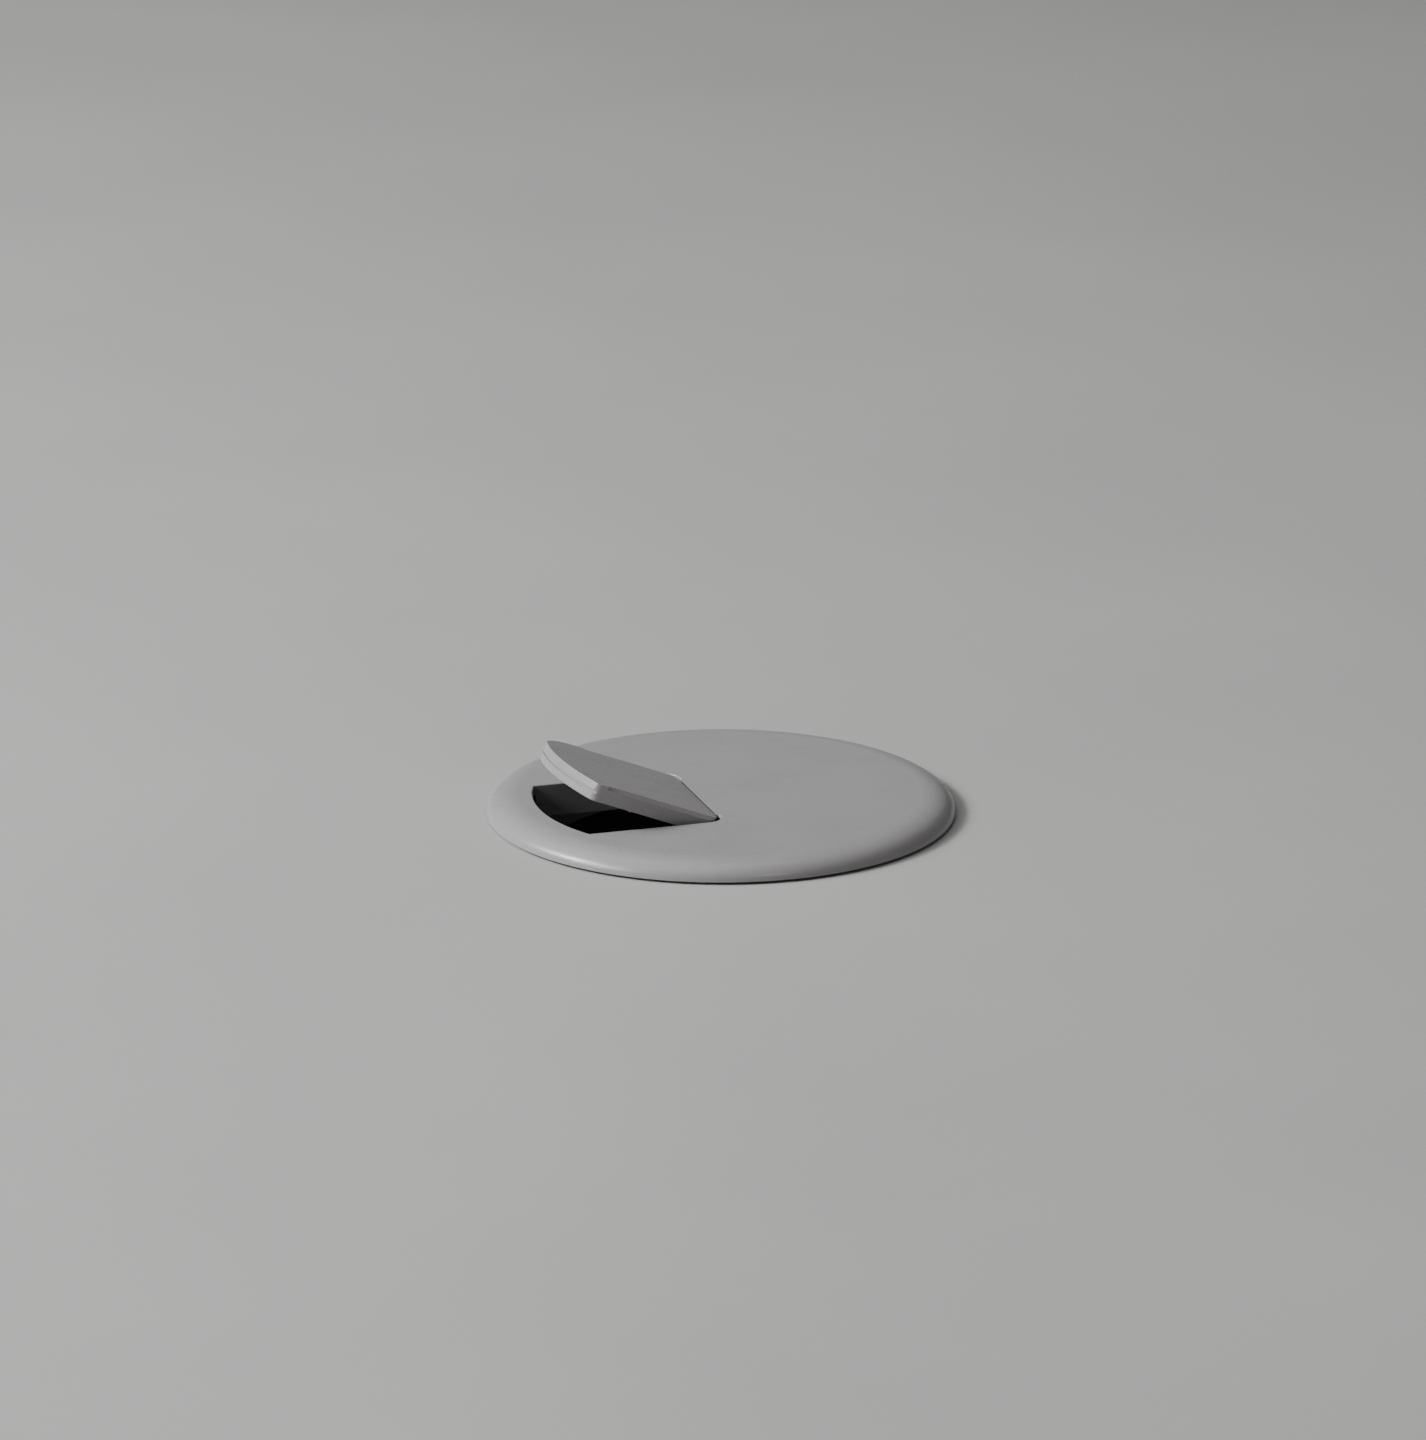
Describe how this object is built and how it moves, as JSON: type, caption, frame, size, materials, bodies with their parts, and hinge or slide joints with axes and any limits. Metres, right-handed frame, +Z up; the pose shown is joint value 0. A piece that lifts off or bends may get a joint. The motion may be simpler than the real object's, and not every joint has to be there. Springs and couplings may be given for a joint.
{
  "type": "desk grommet",
  "caption": "Round desk grommet with a turning cover, a sprung cable flap and a flanged sleeve that lines a hole in a desk top.",
  "frame": {"origin": "centre of the hole, on the desk top that the grommet sits on", "axes": "+Z up out of the desk, the flap's free edge towards -X, the flap's hinge pin along Y"},
  "size_m": [0.076, 0.076, 0.0345],
  "materials": {
    "grey_plastic": "satin moulded grey ABS",
    "black_plastic": "satin moulded black polypropylene",
    "natural_acetal": "natural white acetal",
    "black_foam": "closed-cell foam",
    "pin_steel": "blackened steel wire",
    "spring_steel": "dark music wire"
  },
  "bodies": {
    "liner": {"liner_sleeve": "black_plastic", "seat_gasket": "black_foam"},
    "ring": {"slip_ring": "natural_acetal"},
    "cover": {"cover": "grey_plastic", "hinge_pin": "pin_steel", "front_spring": "spring_steel", "rear_spring": "spring_steel"},
    "flap": {"flap": "grey_plastic"}
  },
  "joints": [
    {"name": "cover_turn", "type": "hinge", "parent": "liner", "child": "ring", "pos_m": [0, 0, 0.0013], "axis": [0, 0, 1], "continuous": true},
    {"name": "cover_lift", "type": "slide", "parent": "ring", "child": "cover", "axis": [0, 0, 1], "range_m": [0, 0.012]},
    {"name": "flap_hinge", "type": "hinge", "parent": "cover", "child": "flap", "pos_m": [-0.00502, 0, 0.0025], "axis": [0, 1, 0], "range_deg": [-21.5, 33.5], "stiffness_Nm_per_rad": 0.0008, "springref_deg": -57.3, "deforming": ["front_spring", "rear_spring"]}
  ]
}
